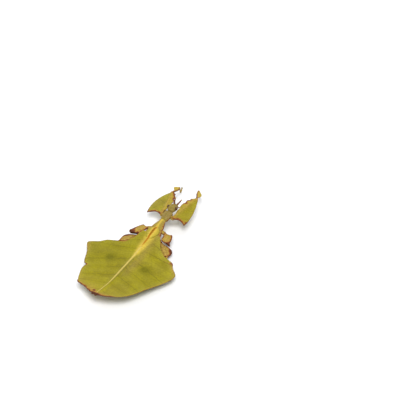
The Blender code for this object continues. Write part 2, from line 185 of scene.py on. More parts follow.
# Abdomen. The real one is a broad, thin leaf of living shell with a slim belly under its
# middle. It is one soft sheet over ten rings, whose borders run obliquely back to the edge.
TAIL_PLATE_END = 1.2
TAIL_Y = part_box("abdomen")[1][1] + TAIL_PLATE_END * MM
BACK_LINE = (
    (-2.0, 6.9), (0.0, 6.6), (1.6, 5.8), (5.7, 4.75), (11.3, 3.9), (18.0, 3.55), (25.0, 3.25),
    (30.0, 3.35), (37.0, 4.4), (44.0, 5.6), (51.0, 6.7), (57.0, 8.0), (62.0, 8.7),
)
ABDOMEN_ROWS = (
    (42.5, 42.5, 4.3, 42.5, 4.3), (41.2, 38.6, 5.2, 40.4, 5.6), (39.8, 35.4, 7.1, 37.2, 7.9),
    (38.3, 33.4, 10.1, 34.8, 10.8), (36.4, 32.1, 13.9, 34.0, 13.4), (34.8, 30.0, 16.3, 33.0, 15.8),
    (33.2, 28.1, 19.7, 31.0, 17.1), (32.0, 26.4, 20.0, 28.2, 19.9), (30.4, 22.9, 17.6, 25.1, 20.0),
    (28.0, 18.5, 15.7, 21.3, 18.4), (25.6, 16.4, 14.4, 18.9, 17.2), (24.2, 15.8, 13.4, 17.4, 16.5),
    (21.2, 13.2, 13.4, 15.5, 15.7), (16.4, 9.7, 12.1, 11.2, 13.9), (11.4, 6.7, 10.7, 7.7, 12.2),
    (8.0, 4.6, 9.6, 5.3, 10.4), (6.0, 3.9, 7.6, 3.4, 8.1), (4.0, 3.2, 5.3, 2.1, 5.7),
    (2.7, 2.1, 3.1, 1.5, 3.6), (1.6, 1.4, 1.0, 1.2, 1.9),
)
ROW_FINE = 7
TAIL_SWAY = 0.8
ABDOMEN_COLUMNS = 124
RING_BORDERS = (39.4, 35.2, 30.2, 24.4, 17.6, 10.8, 5.6, 2.6)
BELLY_HALF_WIDTH = 5.2
BELLY_DEPTH = 3.3
EDGE_THICKNESS = 0.24
MIDDLE_THICKNESS = 0.6
VEIN_SPACING = 1.9
EDGE_LIFT = 0.25
LEFT_CORNER_LIFT = 0.5
RIGHT_TAIL_LIFT = 0.7
MIDLINE_SWELL = 0.3
KEEL_HEIGHT = 0.12
NOTCH_LEFT = 16.0
NOTCH_RIGHT = 17.6
CORNER_RIGHT = 32.6
TAIL_SPOT = (3.5, 1.9)
EYE_SPOT_ACROSS = 7.9
EYE_SPOT_LEFT = 24.3
EYE_SPOT_RIGHT = 25.0
FAR_FROM_MIDDLE = 50.0
MARKS = ("margin", "vein", "leaf", "burn", "tan", "gold", "dusk", "hatch", "horn", "middle")


def spot(forward, left, height):
    """Point from millimetres ahead of the tail, to the insect's left and above the floor."""
    return Vector((left * MM, TAIL_Y - forward * MM, height * MM))


def follow(stations, place):
    """Smooth curve through stations of (place, value), read at one place."""
    last = len(stations) - 2
    index = 0
    while index < last and place > stations[index + 1][0]:
        index += 1
    (x0, y0), (x1, y1) = stations[index], stations[index + 1]
    before = stations[max(index - 1, 0)]
    after = stations[min(index + 2, len(stations) - 1)]
    slope0 = (y1 - before[1]) / (x1 - before[0])
    slope1 = (after[1] - y0) / (after[0] - x0)
    span = x1 - x0
    t = min(max((place - x0) / span, 0.0), 1.0)
    start = (1 + 2 * t) * (1 - t) ** 2 * y0 + t * (1 - t) ** 2 * span * slope0
    end = t * t * (3 - 2 * t) * y1 + t * t * (t - 1) * span * slope1
    return start + end


def fade(value):
    """Smooth step from 0 to 1."""
    value = min(max(value, 0.0), 1.0)
    return value * value * (3 - 2 * value)


def hump(offset, width):
    """Bell curve, 1 in the middle, that has all but gone at twice its width."""
    return math.exp(-(offset / width) ** 2)


def ripple(forward, left, size):
    """Gentle unevenness from -1 to 1, with waves of about the given size."""
    return noise.noise(Vector((forward / size, left / size, 3.7)))


def leaf_sheet(rows, columns, surface, marks, free_edge):
    """Closed thin sheet over a grid.

    surface and marks take u, 0 to 1 along the rows, v, -1 to 1 across them, and a side, 1 above
    and -1 below. free_edge says which of the grid's places lie on the leaf's own edge.
    """
    mesh = bmesh.new()
    layers = {name: mesh.verts.layers.float.new(name) for name in MARKS}
    bmesh.ops.create_grid(mesh, x_segments=columns, y_segments=rows, size=1.0)
    pulled = bmesh.ops.extrude_face_region(mesh, geom=mesh.faces[:])
    below = {item for item in pulled["geom"] if isinstance(item, bmesh.types.BMVert)}
    rim = []
    for vertex in mesh.verts:
        u, v = (vertex.co.y + 1) / 2, vertex.co.x
        side = -1 if vertex in below else 1
        vertex.co = surface(u, v, side)
        for name, value in marks(u, v, side).items():
            vertex[layers[name]] = value
        if free_edge(u, v):
            rim.append(vertex.co.copy())
    edge_finder = KDTree(len(rim))
    for index, place in enumerate(rim):
        edge_finder.insert(place, index)
    edge_finder.balance()
    for vertex in mesh.verts:
        vertex[layers["margin"]] = edge_finder.find(vertex.co)[2] / MM
    bmesh.ops.recalc_face_normals(mesh, faces=mesh.faces[:])
    if mesh.calc_volume(signed=True) < 0:
        bmesh.ops.reverse_faces(mesh, faces=mesh.faces[:])
    return mesh


def midline(forward):
    """Distance of the midline from the body's axis; the tail bends a little to the right."""
    return -TAIL_SWAY * fade((30 - forward) / 22)


def crowded(v):
    """Place across the abdomen, with the grid drawn together towards the midline."""
    return v * (0.55 + 0.45 * abs(v))


def abdomen_place(u, v):
    """Forward place on the midline, and forward and left place of the spot itself."""
    row = u * (len(ABDOMEN_ROWS) - 1)
    first = 1 if v >= 0 else 3
    middle, margin, reach = [
        follow([(i, values[column]) for i, values in enumerate(ABDOMEN_ROWS)], row)
        for column in (0, first, first + 1)
    ]
    reach -= 0.16 * abs(ripple(margin * 1.3 + 40 * (v > 0), reach, 1.1)) * abs(v) ** 12
    return middle, middle + (margin - middle) * abs(v), midline(middle) * (1 - abs(v)) + v * reach


def abdomen_surface(u, v, side):
    """Point of the abdomen's back or belly, with its rings, keel and lifted edges."""
    v = crowded(v)
    middle, forward, left = abdomen_place(u, v)
    across = left - midline(forward)
    lift = EDGE_LIFT
    if v > 0:
        lift += LEFT_CORNER_LIFT * fade((forward - 20) / 8)
    else:
        lift += RIGHT_TAIL_LIFT * fade((20 - forward) / 8) * fade(forward / 4)
    swell = MIDLINE_SWELL * (1 - fade(abs(across) / 1.6)) * fade(forward / 6)
    keel = KEEL_HEIGHT * hump(across, 0.22) * fade((forward - 1.5) / 3)
    crease = sum(hump(middle - border, 0.13) for border in RING_BORDERS)
    step = sum(0.05 * fade((border - middle) / 0.3) * (1 - fade((border - middle - 0.3) / 2.5))
               for border in RING_BORDERS)
    body = 1 - fade((abs(across) - 3) / 3)
    relief = keel - crease * (0.03 + 0.05 * body) - step * body
    relief += 0.12 * ripple(forward, left, 4.0) * fade(abs(v) * 3)
    height = follow(BACK_LINE, forward) + lift * v * v + swell
    rounding = (1 - abs(v) ** 20) ** 0.5
    thickness = EDGE_THICKNESS + (MIDDLE_THICKNESS - EDGE_THICKNESS) * (1 - fade(abs(v) * 1.6 - 0.6))
    sink = (MIDDLE_THICKNESS - thickness) / 2 + thickness * (1 - rounding) * 0.5
    if side > 0:
        height += relief - sink
    else:
        belly = fade(forward / 8) * (1 - 0.35 * fade((forward - 34) / 9))
        belly *= 1 - fade(abs(across) / BELLY_HALF_WIDTH)
        height -= MIDDLE_THICKNESS - sink + (BELLY_DEPTH - MIDDLE_THICKNESS) * belly
        height += crease * (0.05 + 0.1 * body) - 0.06 * hump(abs(across) - 3.1, 0.5) * body
    point = spot(forward, left, 0)
    point.z = max(height * MM, 0.05 * MM)
    return point


def abdomen_marks(u, v, side):
    """Marks of the abdomen: veins, burnt places, gold ridge, eye-spots and hatching."""
    v = crowded(v)
    middle, forward, left = abdomen_place(u, v)
    across = left - midline(forward)
    marks = {"leaf": 1.0, "vein": middle / VEIN_SPACING}
    marks["middle"] = across * (1.2 - 0.62 * fade((forward - 8) / 10))
    thin_burn, burnt_tail = (0.06, 4.6) if v > 0 else (0.12, 2.6)
    marks["burn"] = thin_burn + 0.8 * (1 - fade((forward - burnt_tail) / 1.6))
    marks["burn"] += 0.9 * hump(forward - NOTCH_LEFT, 0.35) * (v > 0.5)
    marks["burn"] += 0.4 * hump(forward - NOTCH_RIGHT, 0.3) * (v < -0.5)
    marks["burn"] += 0.9 * hump(forward - CORNER_RIGHT, 0.45) * (v < -0.5)
    marks["burn"] += 0.22 * fade((forward - 32) / 2) * (v > 0.5)
    marks["burn"] += 4.0 * (1 - fade((forward - 1.7) / 0.9)) * (1 - fade((abs(across) - 1.2) / 0.8))
    marks["burn"] += 12.0 * hump(forward - TAIL_SPOT[0], 0.42) * hump(across - TAIL_SPOT[1], 0.5)
    marks["tan"] = 0.55 * (1 - fade((forward - 1.5) / 4)) + 0.3 * (1 - fade((1 - abs(v)) * 12))
    marks["tan"] += 0.35 * (1 - fade((forward - 4) / 4)) * fade(v * 2)
    marks["tan"] += 0.5 * hump(forward - 26, 2.2) * hump(v - 0.97, 0.05)
    marks["tan"] += 0.6 * hump(forward - 30, 2.0) * hump(v + 0.95, 0.06)
    if side > 0:
        ridge = 0.35 + 1.75 * fade((forward - 26) / 13)
        marks["gold"] = 0.6 * hump(across - 0.35 * ridge, ridge * 0.8) * fade((forward - 18) / 14)
        marks["gold"] += 0.75 * hump(across + 0.5 * ridge, ridge * 0.75) * fade((forward - 20) / 12)
        marks["gold"] += 1.0 * hump(across, 0.42) * fade((forward - 33.5) / 5)
        eye_spot = EYE_SPOT_LEFT if v > 0 else EYE_SPOT_RIGHT
        marks["dusk"] = hump(abs(across) - EYE_SPOT_ACROSS, 1.3) * hump(forward - eye_spot, 1.15)
        marks["dusk"] += 0.5 * hump(abs(across) - 7.7, 3.0) * hump(forward - 24.5, 2.6)
        marks["dusk"] += 0.28 * fade(ripple(forward, left, 6.0) + 0.1)
        marks["dusk"] += 0.14 * fade((forward - 12) / 8) * fade(v * 5)
        marks["gold"] += 0.22 * (1 - fade((forward - 6) / 10))
        marks["tan"] += 0.22 * hump(across + 2.6, 1.9) * fade((forward - 16) / 8)
        marks["hatch"] = hump(across + 2.0, 1.2) * fade((forward - 12) / 5) * fade((39 - forward) / 3)
        marks["hatch"] += 0.5 * hump(across - 1.3, 0.6) * fade((forward - 6) / 3) * fade((19 - forward) / 3)
        marks["horn"] = 0.2 * hump(across + 2.6, 1.9) * fade((forward - 16) / 8)
    else:
        marks["tan"] += 0.35 * (1 - fade((abs(across) - 3) / 2.5))
        marks["middle"] = FAR_FROM_MIDDLE
    return marks


flesh = [leaf_sheet(
    (len(ABDOMEN_ROWS) - 1) * ROW_FINE, ABDOMEN_COLUMNS, abdomen_surface, abdomen_marks,
    lambda u, v: abs(v) > 0.999 or u > 0.999,
)]


# Thorax. Three shell rings carry the legs: a squarish shield behind the head, a long keeled
# middle ring with warty sides, and a short hind ring that runs on into the abdomen.
TRUNK_WIDTH = (
    (41.0, 4.2), (42.8, 3.95), (43.6, 3.75), (45.0, 3.2), (46.45, 2.75), (47.8, 2.42),
    (49.4, 1.93), (50.4, 1.5), (51.3, 1.36), (51.7, 1.28), (52.1, 1.5), (52.6, 1.72),
    (53.6, 1.86), (54.9, 1.94), (55.6, 1.94), (56.05, 1.75), (56.3, 1.3), (56.8, 1.1), (58.4, 1.0),
)
TRUNK_CROWN = (
    (41.0, -0.15), (42.8, 0.0), (43.6, 0.1), (45.0, 0.1), (46.4, 0.0), (47.8, 0.1), (49.4, 0.15),
    (50.4, 0.1), (51.3, 0.0), (51.7, -0.2), (52.2, 0.05), (53.6, 0.28), (54.9, 0.3), (55.7, 0.12),
    (56.1, -0.25), (56.4, -0.6), (58.4, -0.9),
)
TRUNK_DEPTH = (
    (41.0, 2.3), (43.6, 2.35), (45.0, 2.3), (46.4, 2.1), (47.8, 2.2), (49.4, 2.1), (51.3, 1.8),
    (51.7, 1.6), (52.4, 2.2), (53.6, 2.5), (54.9, 2.6), (55.7, 2.3), (56.3, 1.7), (58.4, 1.3),
)
TRUNK_REACH = (41.0, 58.4)
WAIST_CREASE = 46.45
NECK_CREASE = 51.7
WARTS_FRONT = 51.3
WART_SPACING = 0.85
SHIELD_BACK, SHIELD_FRONT = 51.9, 56.2
SHIELD_DENT = 53.9
TRUNK_EDGE = 0.16
TRUNK_ROWS = 150
TRUNK_COLUMNS = 34


def warts_at(forward):
    """Row of warts along the trunk's sides, from 0 to 1."""
    return abs(math.sin(forward * math.pi / WART_SPACING))


def trunk_surface(u, v, side):
    """Point of the trunk's back or underside, with its warts, keel, dents and creases."""
    forward = TRUNK_REACH[1] + (TRUNK_REACH[0] - TRUNK_REACH[1]) * u
    half_width = follow(TRUNK_WIDTH, forward)
    warts = warts_at(forward) ** 3 * fade((WARTS_FRONT - forward) / 1.0) * fade((forward - 43) / 2)
    half_width *= 0.97 - 0.02 * warts + 0.09 * warts * abs(v) ** 6
    left = half_width * v
    crown, depth = follow(TRUNK_CROWN, forward), follow(TRUNK_DEPTH, forward)
    arch = math.sqrt(max(1 - v * v, 0.0))
    middle = follow(BACK_LINE, forward) + crown - depth / 2
    reach = TRUNK_EDGE * (1 - abs(v) ** 14) + (depth / 2 - TRUNK_EDGE) * arch
    shield = fade((forward - SHIELD_BACK) / 0.5) * fade((SHIELD_FRONT - forward) / 0.4)
    if side > 0:
        keel = 0.14 * hump(left, 0.2) * fade((WARTS_FRONT - forward) / 0.5) * fade((forward - 46.6) / 0.5)
        keel *= 0.6 + 0.4 * math.sin(forward * math.pi / 0.6) ** 2
        dent = 0.09 * hump(left, 0.12) * shield
        dent += 0.1 * hump(forward - SHIELD_DENT, 0.16) * hump(left, 1.1) * shield
        dent += 0.08 * hump(abs(left) - 0.75, 0.25) * hump(forward - 53.8, 0.3)
        rim = 0.1 * hump(forward - 55.65, 0.22) + 0.1 * hump(forward - 52.4, 0.2)
        rim += 0.08 * hump(abs(v) - 0.86, 0.07) * shield
        crease = 0.12 * hump(forward - WAIST_CREASE, 0.14) + 0.14 * hump(forward - NECK_CREASE, 0.15)
        reach += keel - dent + rim - crease
        reach += 0.05 * ripple(forward, left, 0.5) * (1 - v ** 4)
    else:
        reach -= 0.12 * hump(forward - WAIST_CREASE, 0.2) + 0.16 * hump(forward - NECK_CREASE, 0.2)
        reach -= 0.1 * hump(left, 0.2) * (1 - abs(v))
    point = spot(forward, left, 0)
    point.z = (middle + side * reach) * MM
    return point


def trunk_marks(u, v, side):
    """Marks of the trunk: gold neck and ridge, burnt warts, the horny shield in front, and painted shade in
    its creases and dents.
    """
    forward = TRUNK_REACH[1] + (TRUNK_REACH[0] - TRUNK_REACH[1]) * u
    left = follow(TRUNK_WIDTH, forward) * v
    front = fade((forward - 51.5) / 0.8)
    neck = hump(forward - 50.9, 1.0)
    marks = {"leaf": 0.15 * (1 - front), "vein": 0.5, "middle": FAR_FROM_MIDDLE}
    marks["tan"] = 0.4 + 0.1 * front + 0.5 * abs(v) ** 4 * (1 - front)
    marks["horn"] = 0.25 + 0.45 * front
    marks["gold"] = (0.05 + 0.45 * hump(left - 0.1, 0.75) + 0.15 * neck) * (1 - front)
    if side > 0:
        marks["gold"] += 1.15 * hump(left, 0.36) * fade((48.6 - forward) / 2.5)
        marks["gold"] += 0.35 * hump(left - 0.1, 0.3) * (1 - front)
    behind_neck = fade((WARTS_FRONT - forward) / 0.6)
    marks["burn"] = 0.3 * behind_neck + 0.22
    marks["burn"] += 0.5 * warts_at(forward) ** 6 * behind_neck
    # Painted shade: darker in the neck crease, where the shield meets the head, in the dent down the
    # shield's middle and in the dent across it.
    marks["dusk"] = 0.75 * hump(forward - NECK_CREASE, 0.2) + 0.6 * hump(forward - SHIELD_FRONT, 0.3)
    marks["dusk"] += 0.35 * hump(left, 0.16) * front
    marks["dusk"] += 0.3 * hump(forward - SHIELD_DENT, 0.2) * hump(left, 1.0)
    return marks


flesh.append(leaf_sheet(
    TRUNK_ROWS, TRUNK_COLUMNS, trunk_surface, trunk_marks, lambda u, v: abs(v) > 0.999,
))


# Head. A squarish capsule of tan shell, lower and narrower at the mouth. A fine forked
# seam runs over its crown, it is pebbled behind, and each feeler stands in a raised ring.
HEAD_CENTRE = (59.15, 7.3)
HEAD_HALF = (2.75, 1.75, 1.35)
EYE_PLACE = (58.5, 1.66, 7.75)
EYE_RADIUS = 0.72
FEELER_ROOT = (61.5, 0.7, 7.85)
HEAD_SQUARENESS = 0.82
FORK_START = 60.0
FORK_SPREAD = 0.45
NAPE_GROOVE = 57.6
FAR_FROM_EDGE = 9.0


def head_shape(direction):
    """Point of the head capsule in millimetres: forward, left and height."""
    squared = [math.copysign(abs(value) ** HEAD_SQUARENESS, value) for value in direction]
    front = fade((squared[0] + 0.1) / 1.1)
    forward = HEAD_CENTRE[0] + squared[0] * HEAD_HALF[0]
    left = squared[1] * HEAD_HALF[1] * (1 - 0.3 * front)
    height = HEAD_CENTRE[1] + squared[2] * HEAD_HALF[2] * (1 - 0.25 * front) - 0.55 * front
    return Vector((forward, left, height))


def from_fork(forward, left):
    """Distance across from the crown's seam, which forks in front."""
    return abs(left) - max(forward - FORK_START, 0.0) * FORK_SPREAD


def head_relief(place):
    """How far the surface stands out of the plain capsule, in millimetres."""
    forward, left, height = place
    top = fade((height - 7.2) / 0.6)
    relief = -0.1 * hump(from_fork(forward, left), 0.09) * top * fade((61.5 - forward) / 0.4)
    relief -= 0.09 * hump(forward - NAPE_GROOVE, 0.13) * top
    relief += 0.07 * hump(abs(left) - 0.55, 0.28) * hump(forward - 59.0, 0.9) * top
    pebbles = noise.noise(Vector((forward, left, height)) * 2.6)
    relief += 0.06 * pebbles * top * (1 - fade((forward - 60.6) / 0.6))
    socket = Vector((FEELER_ROOT[0], math.copysign(FEELER_ROOT[1], left), FEELER_ROOT[2] - 0.2))
    relief += 0.16 * hump((place - socket).length - 0.42, 0.16)
    eye = Vector((EYE_PLACE[0], math.copysign(EYE_PLACE[1], left), EYE_PLACE[2]))
    relief += 0.1 * hump((place - eye).length - EYE_RADIUS - 0.08, 0.13)
    cheek = hump(forward - 60.6, 0.1) * fade((7.4 - height) / 0.4)
    return relief - 0.06 * cheek


def coat_with(mesh, vertex_marks):
    """Give every vertex the marks that the colours are worked out from."""
    layers = {name: mesh.verts.layers.float.new(name) for name in MARKS}
    for vertex in mesh.verts:
        given = {"margin": FAR_FROM_EDGE, "vein": 0.5, "middle": FAR_FROM_MIDDLE}
        given.update(vertex_marks(vertex.co))
        for name, value in given.items():
            vertex[layers[name]] = value


def head_marks(place):
    """Marks of the head: tan sides, horny crown, red-brown muzzle, and painted shade in the crown's forked
    seam and the nape groove.
    """
    forward, left, height = (TAIL_Y - place.y) / MM, place.x / MM, place.z / MM
    mouth = fade((forward - 61.0) / 0.8)
    low = fade((7.2 - height) / 0.6)
    seam = hump(from_fork(forward, left), 0.09)
    seam *= fade((height - 7.4) / 0.4) * fade((61.6 - forward) / 0.4)
    return {"tan": 0.6 + 0.3 * low, "horn": 0.6 * (1 - low) * (1 - 0.4 * mouth),
            # The darkening in the forked seam and in the nape groove is painted shade.
            "dusk": 0.05 + 0.5 * seam + 0.3 * hump(forward - NAPE_GROOVE, 0.16),
            "burn": 1.5 * fade((forward - 58.4) / 1.8) + 4.0 * mouth, "margin": 2.6}


capsule = bmesh.new()
bmesh.ops.create_uvsphere(capsule, u_segments=72, v_segments=56, radius=1.0)
for vertex in capsule.verts:
    x, y, z = vertex.co
    place = head_shape((z, x, y))
    outward = Vector((z / HEAD_HALF[0], x / HEAD_HALF[1], y / HEAD_HALF[2])).normalized()
    place += outward * head_relief(place)
    vertex.co = spot(*place)
bmesh.ops.smooth_vert(capsule, verts=capsule.verts[:], factor=0.35, use_axis_x=True, use_axis_y=True,
                      use_axis_z=True)
bmesh.ops.recalc_face_normals(capsule, faces=capsule.faces[:])
coat_with(capsule, head_marks)
flesh.append(capsule)


# Legs. Each is a slim rod of shell with two leaf-like flanges: a broad and a narrow one on
# the thigh, small ones on the shin, then a five-jointed foot that lies flat on the ground.
SIDES = {"left": 1, "right": -1}
FORE_NARROW_LOBE = {"hollow": (0.4, 0.5), "hook": (1.4, 0.6), "shoulder": (0.74, 3.6)}
THIGHS = {
    ("fore", "left"): {
        "rod": 0.62, "root": 2.9, "teeth": 0.42, "narrow": FORE_NARROW_LOBE,
        "broad": {"hollow": (2.3, 2.7), "hook": (0.3, 6.9), "shoulder": (0.66, 7.6)},
    },
    ("fore", "right"): {
        "rod": 0.62, "root": 2.9, "teeth": 0.42, "narrow": FORE_NARROW_LOBE,
        "broad": {"hollow": (1.7, 2.5), "hook": (-0.3, 5.7), "shoulder": (0.5, 5.3)},
    },
    "mid": {
        "rod": 0.55, "root": 1.5, "teeth": 0.25,
        "broad": {"hollow": (0.6, 0.9), "hook": (0.9, 2.7), "shoulder": (0.5, 2.8)},
        "narrow": {"hollow": (0.5, 0.5), "hook": (1.4, 1.5), "shoulder": (0.6, 3.2)},
    },
    "hind": {
        "rod": 0.55, "root": 1.2, "teeth": 0.25,
        "broad": {"hollow": (0.2, 0.6), "hook": (1.2, 1.1), "shoulder": (0.78, 5.2)},
        "narrow": {"hollow": (0.3, 0.5), "hook": (1.8, 0.9), "shoulder": (0.7, 2.6)},
    },
}
SHINS = {
    "fore": {
        "rod": 0.42, "root": 0.8, "teeth": 0.12,
        "broad": {"hollow": (0.0, 0.4), "hook": (0.9, 0.5), "shoulder": (0.45, 2.7)},
        "narrow": {"hollow": (0.0, 0.4), "hook": (1.0, 0.45), "shoulder": (0.5, 0.9)},
    },
    "mid": {
        "rod": 0.4, "root": 0.7, "teeth": 0.0,
        "broad": {"hollow": (0.0, 0.4), "hook": (0.8, 0.42), "shoulder": (0.5, 1.0)},
        "narrow": {"hollow": (0.0, 0.4), "hook": (0.8, 0.42), "shoulder": (0.5, 0.7)},
    },
    "hind": {
        "rod": 0.4, "root": 0.7, "teeth": 0.0,
        "broad": {"hollow": (0.0, 0.4), "hook": (0.8, 0.42), "shoulder": (0.5, 1.0)},
        "narrow": {"hollow": (0.0, 0.4), "hook": (0.8, 0.42), "shoulder": (0.5, 0.8)},
    },
}
KNUCKLE = 1.1
KNUCKLE_SHARE = 0.22
LOBE_TEETH = 4.0
LOBE_HALF_THICKNESS = 0.3
LOBE_THINNING = 0.17
LOBE_RIB = 0.035
LOBE_DROOP = 0.1
LOBE_VEIN_SLANT = 0.8
THIGH_GRID = (54, 38)
SHIN_GRID = (36, 22)
HIP_PROFILE = ((0.0, 0.75), (0.4, 0.8), (0.62, 0.5), (0.78, 0.62), (1.0, 0.3))
HIP_FLATNESS = 0.85
KNEE_PROFILE = ((0.0, 0.3), (0.3, 0.42), (0.6, 0.4), (1.0, 0.3))
FOOT_PROFILE = (
    (0.0, 0.22), (0.1, 0.27), (0.3, 0.27), (0.38, 0.37), (0.41, 0.24), (0.5, 0.35), (0.53, 0.24),
    (0.61, 0.35), (0.64, 0.24), (0.72, 0.35), (0.75, 0.22), (0.88, 0.24), (0.96, 0.33), (1.0, 0.1),
)
FOOT_RADIUS = 0.27
SAME_POINT = 0.000001
LEG_PLACES = {
    ("fore", "left"): {
        "body": (54.6, 1.2, 5.9), "hip": (55.0, 2.75, 6.1), "knee": (67.9, 5.6, 7.0),
        "shin": (68.3, 5.65, 6.8), "ankle": (73.7, 5.9, 5.2), "ball": (76.8, 7.3, 0.4),
        "toe": (79.8, 8.4), "lean": 13, "twist": -25,
    },
    ("fore", "right"): {
        "body": (54.6, -1.2, 5.9), "hip": (55.0, -2.75, 6.1), "knee": (68.9, -5.3, 7.0),
        "shin": (69.3, -5.1, 6.8), "ankle": (75.5, -2.3, 5.5), "ball": (77.9, -1.0, 0.4),
        "toe": (80.4, 0.1), "lean": 13, "twist": 20,
    },
    ("mid", "left"): {
        "body": (46.8, 1.9, 4.7), "hip": (46.0, 4.15, 4.3), "knee": (41.4, 9.3, 3.9),
        "shin": (41.8, 9.3, 2.8), "ankle": (44.9, 7.0, 1.3), "ball": (46.1, 7.0, 0.4),
        "toe": (48.0, 10.2), "lean": 4, "twist": 0,
    },
    ("mid", "right"): {
        "body": (46.8, -1.9, 4.7), "hip": (46.0, -4.15, 4.3), "knee": (42.6, -7.9, 3.6),
        "shin": (43.0, -8.0, 2.4), "ankle": (45.0, -5.6, 1.3), "ball": (45.9, -5.3, 0.4),
        "toe": (48.6, -4.2), "lean": 4, "twist": 0,
    },
    ("hind", "left"): {
        "body": (43.4, 2.2, 3.9), "hip": (42.0, 4.7, 2.3), "knee": (36.9, 11.3, 1.3),
        "shin": (36.4, 11.4, 1.25), "ankle": (30.6, 12.6, 0.9), "ball": (29.4, 12.8, 0.4),
        "toe": (25.4, 13.6), "lean": 0, "twist": 0,
    },
    ("hind", "right"): {
        "body": (43.4, -2.2, 3.9), "hip": (42.0, -4.7, 2.7), "knee": (36.9, -10.6, 1.95),
        "shin": (36.4, -10.6, 1.85), "ankle": (30.4, -10.6, 0.9), "ball": (29.2, -10.6, 0.4),
        "toe": (25.2, -11.2), "lean": 0, "twist": 0,
    },
}
THIGH_LOOKS = {
    "fore": {"broad": (0.1, 0.1, 0.0), "narrow": (0.35, 0.12, 0.3)},
    "mid": {"broad": (0.65, 0.6, 0.2), "narrow": (0.7, 0.6, 0.2)},
    "hind": {"broad": (0.85, 0.55, 0.15), "narrow": (0.85, 0.4, 0.15)},
}
SHIN_LOOKS = {
    "fore": {"broad": (0.6, 0.06, 0.6), "narrow": (0.6, 0.45, 0.4)},
    "mid": {"broad": (1.0, 4.0, 0.0), "narrow": (1.0, 4.0, 0.0)},
    "hind": {"broad": (0.8, 0.5, 0.0), "narrow": (0.8, 0.4, 0.0)},
}
EDGE_STAINS = {
    "fore": lambda s, t: (0.75 * fade((s - 7.0) / 3.0) * fade((13.2 - s) / 0.8) if t < 0
                          else 0.6 * fade((3.0 - s) / 1.5)),
    "mid": lambda s, t: 2.8 * fade((s - 4.4 + 0.5 * t) / 1.0),
    "hind": lambda s, t: 3.4 * hump(s - 5.6, 1.0) * fade((t - 1.4) / 0.8),
}


def bend(start, middle, end, t):
    """Point on the curve from start to end that bends towards the middle point."""
    return [a * (1 - t) ** 2 + 2 * b * t * (1 - t) + c * t * t for a, b, c in zip(start, middle, end)]


def leg_vein(s, t):
    """Count of veins up to a place along and out of a leg; they slant towards its root."""
    return (s - LOBE_VEIN_SLANT * abs(t)) / VEIN_SPACING


def leg_leaf(start, end, shape, looks, hand, lean, grid, stain=None):
    """Rod of a leg with a broad and a narrow flange. looks gives tan, burn and gold of each.

    stain, if given, tells how far the edge's burn spreads at a place along and out.
    """
    along = (end - start).normalized()
    level = Vector((0, 0, 1)).cross(along).normalized() * hand
    upright = along.cross(level) * hand
    angle = math.radians(lean)
    across = level * math.cos(angle) - upright * math.sin(angle)
    upper = upright * math.cos(angle) + level * math.sin(angle)
    length = (end - start).length / MM
    rod = shape["rod"]

    def place(u, v):
        """Along, out and run of a place of the grid, in millimetres from the start."""
        run = (u - KNUCKLE_SHARE) / (KNUCKLE_SHARE if u < KNUCKLE_SHARE else 1 - KNUCKLE_SHARE)
        stretch = shape["root"] + KNUCKLE if run < 0 else length - shape["root"]
        axis = shape["root"] + stretch * run
        lobe = shape["broad"] if v >= 0 else shape["narrow"]
        if run < 0:
            edge_along, edge_out = bend((-KNUCKLE, rod * 0.75), lobe["hollow"], lobe["hook"], 1 + run)
        else:
            share, reach = lobe["shoulder"]
            edge_along, edge_out = bend(lobe["hook"], (share * length, reach), (length, rod * 0.9), run)
            saw = abs(math.sin(run * math.pi * LOBE_TEETH + 0.4 * math.sin(run * 9)))
            if v < 0:
                edge_out += shape["teeth"] * (saw - 0.15) * fade(5 - 5 * run) * fade(run * 4)
            else:
                edge_out -= 0.12 * abs(ripple(edge_along * 1.4, rod, 1.0)) * fade(edge_out - 1)
        return axis + (edge_along - axis) * abs(v), edge_out * v, run

    def surface(u, v, side):
        """Point of the rod or of its flanges, with a rib between each two veins."""
        s, t, run = place(u, v)
        swell = max(1 - (t / (rod * 1.25)) ** 2, 0.0) ** 0.5
        thin = LOBE_HALF_THICKNESS - LOBE_THINNING * fade(abs(v) * 1.5 - 0.5)
        thin *= (1 - abs(v) ** 16) ** 0.5 * 0.75 + 0.25
        half = thin + (rod * 0.97 - thin) * swell
        ribs = LOBE_RIB * hump(leg_vein(s, t) % 1 - 0.5, 0.09) * (1 - swell) * fade(abs(t) - 0.5)
        half += ribs * fade((1 - abs(v)) * 4)
        droop = LOBE_DROOP * ripple(s, t, 2.6) * (1 - swell)
        point = start + (along * s + across * t + upper * (side * half + droop)) * MM
        point.z = max(point.z, 0.0)
        return point

    def marks(u, v, side):
        """Marks of the leg: a tan rod and knee, and green flanges with burnt edges."""
        s, t, run = place(u, v)
        lobe_tan, lobe_burn, lobe_gold = looks["broad" if v >= 0 else "narrow"]
        on_rod = 1 - fade((abs(t) - rod * 0.7) / 0.6)
        knee = fade((s - length + 1.2) / 1.0)
        heel = 1 - fade((s + 0.8) / 1.4)
        return {
            "leaf": 1 - on_rod, "vein": leg_vein(s, t),
            "tan": min(lobe_tan + 0.3 * on_rod + 0.5 * knee, 1.0),
            "burn": lobe_burn + 0.3 * knee + 0.25 * heel + (stain(s, t) if stain else 0.0),
            "gold": lobe_gold, "middle": FAR_FROM_MIDDLE,
        }

    return leaf_sheet(*grid, surface, marks, lambda u, v: abs(v) > 0.999)


